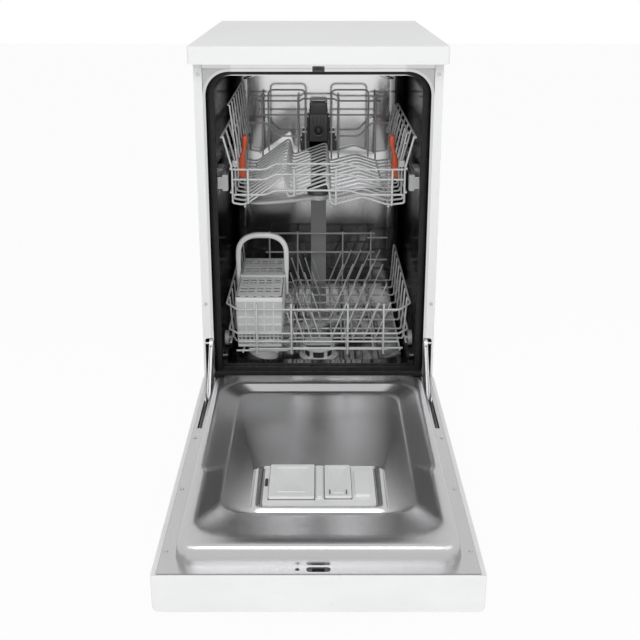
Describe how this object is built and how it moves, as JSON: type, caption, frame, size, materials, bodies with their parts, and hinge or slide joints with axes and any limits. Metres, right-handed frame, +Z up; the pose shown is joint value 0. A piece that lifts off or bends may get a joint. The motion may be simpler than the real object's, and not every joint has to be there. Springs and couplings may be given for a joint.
{
  "type": "slimline dishwasher",
  "caption": "Free-standing slimline dishwasher with a drop-down door, sliding wire racks, cutlery basket, spray arms and sheet-metal cabinet, shown open.",
  "frame": {"origin": "centre of the bounding box's footprint on the floor", "axes": "+X to the machine's right seen from the front, +Y to its back, +Z up; the open door points to -Y"},
  "size_m": [0.45, 1.1334, 0.85],
  "materials": {
    "white_enamel": "gloss white enamel on sheet",
    "worktop_white": "smooth white laminate",
    "stainless": "satin stainless sheet",
    "wire_grey": "light grey nylon coating on wire",
    "steel": "zinc-plated steel",
    "white_plastic": "moulded white",
    "black_rubber": "black elastomer",
    "grey_plastic": "moulded grey",
    "pale_plastic": "moulded pale grey",
    "dark_plastic": "moulded dark grey",
    "base_plastic": "moulded dark base",
    "orange_plastic": "moulded orange"
  },
  "bodies": {
    "cabinet": {"worktop": "worktop_white", "left_side_panel": "white_enamel", "right_side_panel": "white_enamel", "rear_panel": "steel", "tub": "stainless", "front_crossbar": "stainless", "latch_keeper": "steel", "door_seal": "black_rubber", "lower_door_seal": "black_rubber", "base_tray": "base_plastic", "plinth": "white_enamel", "levelling_feet": "dark_plastic", "hinge_brackets": "steel", "hinge_springs": "steel", "sump": "dark_plastic", "circulation_pump": "dark_plastic", "drain_pump": "dark_plastic", "water_softener": "pale_plastic", "water_distributor": "pale_plastic", "inlet_valve": "pale_plastic", "drain_outlet": "grey_plastic", "power_inlet": "dark_plastic", "feed_pipe": "grey_plastic", "filter_plate": "stainless", "cabinet_screws": "steel", "rail_guides": "grey_plastic"},
    "filter": {"filter_cup": "grey_plastic"},
    "salt_cap_body": {"salt_cap": "pale_plastic"},
    "lower_arm": {"lower_spray_arm": "grey_plastic"},
    "rails": {"rack_rails": "steel", "rail_end_stops": "pale_plastic"},
    "door": {"door_outer_panel": "white_enamel", "door_liner": "stainless", "control_panel": "white_plastic", "hinge_arms": "steel", "door_latch": "dark_plastic", "control_board": "base_plastic", "dispenser_housing": "white_plastic", "door_screws": "steel"},
    "detergent_flap": {"detergent_lid": "white_plastic"},
    "rinse_aid_flap": {"rinse_aid_lid": "white_plastic"},
    "power_key": {"power_button": "white_plastic"},
    "programme_key": {"programme_button": "white_plastic"},
    "start_key": {"start_button": "white_plastic"},
    "upper_basket": {"upper_rack": "wire_grey", "upper_arm_feed": "dark_plastic", "height_clips": "orange_plastic", "rack_runners": "dark_plastic"},
    "upper_arm": {"upper_spray_arm": "grey_plastic"},
    "left_shelf": {"left_cup_shelf": "wire_grey"},
    "right_shelf": {"right_cup_shelf": "wire_grey"},
    "lower_basket": {"lower_rack": "wire_grey"},
    "left_front_roller": {"left_front_wheel": "pale_plastic"},
    "right_front_roller": {"right_front_wheel": "pale_plastic"},
    "left_rear_roller": {"left_rear_wheel": "pale_plastic"},
    "right_rear_roller": {"right_rear_wheel": "pale_plastic"},
    "cutlery": {"cutlery_basket": "pale_plastic", "basket_handle": "pale_plastic"},
    "front_lid": {"front_basket_lid": "pale_plastic"},
    "rear_lid": {"rear_basket_lid": "pale_plastic"}
  },
  "joints": [
    {"name": "door_hinge", "type": "hinge", "parent": "cabinet", "child": "door", "pos_m": [0, 0.03915, 0.2091], "axis": [1, 0, 0], "range_deg": [-90, 0], "deforming": ["hinge_springs"]},
    {"name": "rail_slide", "type": "slide", "parent": "cabinet", "child": "rails", "axis": [0, -1, 0], "range_m": [0, 0.18]},
    {"name": "upper_rack_slide", "type": "slide", "parent": "rails", "child": "upper_basket", "axis": [0, -1, 0], "range_m": [0, 0.18]},
    {"name": "lower_rack_slide", "type": "slide", "parent": "cabinet", "child": "lower_basket", "axis": [0, -1, 0], "range_m": [0, 0.36]},
    {"name": "lower_arm_spin", "type": "hinge", "parent": "cabinet", "child": "lower_arm", "pos_m": [0, 0.25675, 0.228], "axis": [0, 0, 1], "continuous": true},
    {"name": "upper_arm_spin", "type": "hinge", "parent": "upper_basket", "child": "upper_arm", "pos_m": [0, 0.27375, 0.505], "axis": [0, 0, 1], "continuous": true},
    {"name": "left_shelf_fold", "type": "hinge", "parent": "upper_basket", "child": "left_shelf", "pos_m": [-0.158, 0.27675, 0.616], "axis": [0, 1, 0], "range_deg": [0, 95]},
    {"name": "right_shelf_fold", "type": "hinge", "parent": "upper_basket", "child": "right_shelf", "pos_m": [0.158, 0.27675, 0.616], "axis": [0, -1, 0], "range_deg": [0, 100]},
    {"name": "detergent_lid_slide", "type": "slide", "parent": "door", "child": "detergent_flap", "axis": [0, 1, 0], "range_m": [0, 0.062]},
    {"name": "rinse_aid_lid_hinge", "type": "hinge", "parent": "door", "child": "rinse_aid_flap", "pos_m": [0.0294, -0.33325, 0.2284], "axis": [-1, 0, 0], "range_deg": [0, 95]},
    {"name": "power_button_press", "type": "slide", "parent": "door", "child": "power_key", "axis": [0, 0, 1], "range_m": [0, 0.002], "stiffness_N_per_m": 300},
    {"name": "programme_button_press", "type": "slide", "parent": "door", "child": "programme_key", "axis": [0, 0, 1], "range_m": [0, 0.002], "stiffness_N_per_m": 300},
    {"name": "start_button_press", "type": "slide", "parent": "door", "child": "start_key", "axis": [0, 0, 1], "range_m": [0, 0.002], "stiffness_N_per_m": 300},
    {"name": "filter_twist", "type": "hinge", "parent": "cabinet", "child": "filter", "pos_m": [0, 0.16675, 0.2], "axis": [0, 0, 1], "range_deg": [0, 45]},
    {"name": "salt_cap_turn", "type": "hinge", "parent": "cabinet", "child": "salt_cap_body", "pos_m": [-0.115, 0.15875, 0.212], "axis": [0, 0, 1], "range_deg": [0, 90]},
    {"name": "left_front_wheel_spin", "type": "hinge", "parent": "lower_basket", "child": "left_front_roller", "pos_m": [-0.1875, 0.12675, 0.2483], "axis": [1, 0, 0], "continuous": true},
    {"name": "left_rear_wheel_spin", "type": "hinge", "parent": "lower_basket", "child": "left_rear_roller", "pos_m": [-0.1875, 0.42675, 0.2483], "axis": [1, 0, 0], "continuous": true},
    {"name": "right_front_wheel_spin", "type": "hinge", "parent": "lower_basket", "child": "right_front_roller", "pos_m": [0.1875, 0.12675, 0.2483], "axis": [1, 0, 0], "continuous": true},
    {"name": "right_rear_wheel_spin", "type": "hinge", "parent": "lower_basket", "child": "right_rear_roller", "pos_m": [0.1875, 0.42675, 0.2483], "axis": [1, 0, 0], "continuous": true},
    {"name": "basket_lift", "type": "slide", "parent": "lower_basket", "child": "cutlery", "axis": [0, 0, 1], "range_m": [0, 0.025]},
    {"name": "front_basket_lid_hinge", "type": "hinge", "parent": "cutlery", "child": "front_lid", "pos_m": [-0.117, 0.20415, 0.3518], "axis": [-1, 0, 0], "range_deg": [0, 88]},
    {"name": "rear_basket_lid_hinge", "type": "hinge", "parent": "cutlery", "child": "rear_lid", "pos_m": [-0.117, 0.21935, 0.3518], "axis": [1, 0, 0], "range_deg": [0, 88]}
  ],
  "couplings": [
    {"joint": "rail_slide", "follows": "upper_rack_slide", "ratio": 1}
  ]
}
